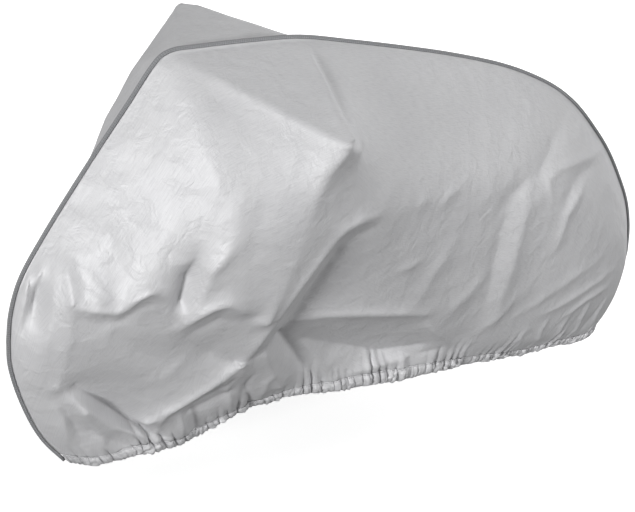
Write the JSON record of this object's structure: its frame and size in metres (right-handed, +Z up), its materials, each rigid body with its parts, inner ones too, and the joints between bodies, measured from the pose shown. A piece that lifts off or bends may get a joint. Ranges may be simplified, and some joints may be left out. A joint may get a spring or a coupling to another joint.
{
  "type": "bicycle cover",
  "caption": "Silver-grey weather cover for a bicycle, two creased side panels of coated cloth joined by one bound seam over the top, with a gathered elastic hem.",
  "frame": {"origin": "the point under the top seam that lies on the handlebar stem", "axes": "+X towards the bicycle's front, +Y the rider's left, +Z up"},
  "size_m": [1.8876, 0.6901, 1.0461],
  "materials": {
    "cloth": "silver coated polyester, semi-gloss",
    "binding": "grey polyester tape, matte"
  },
  "bodies": {
    "root": {"left_panel": "cloth", "right_panel": "cloth", "seam_binding": "binding"}
  },
  "joints": []
}
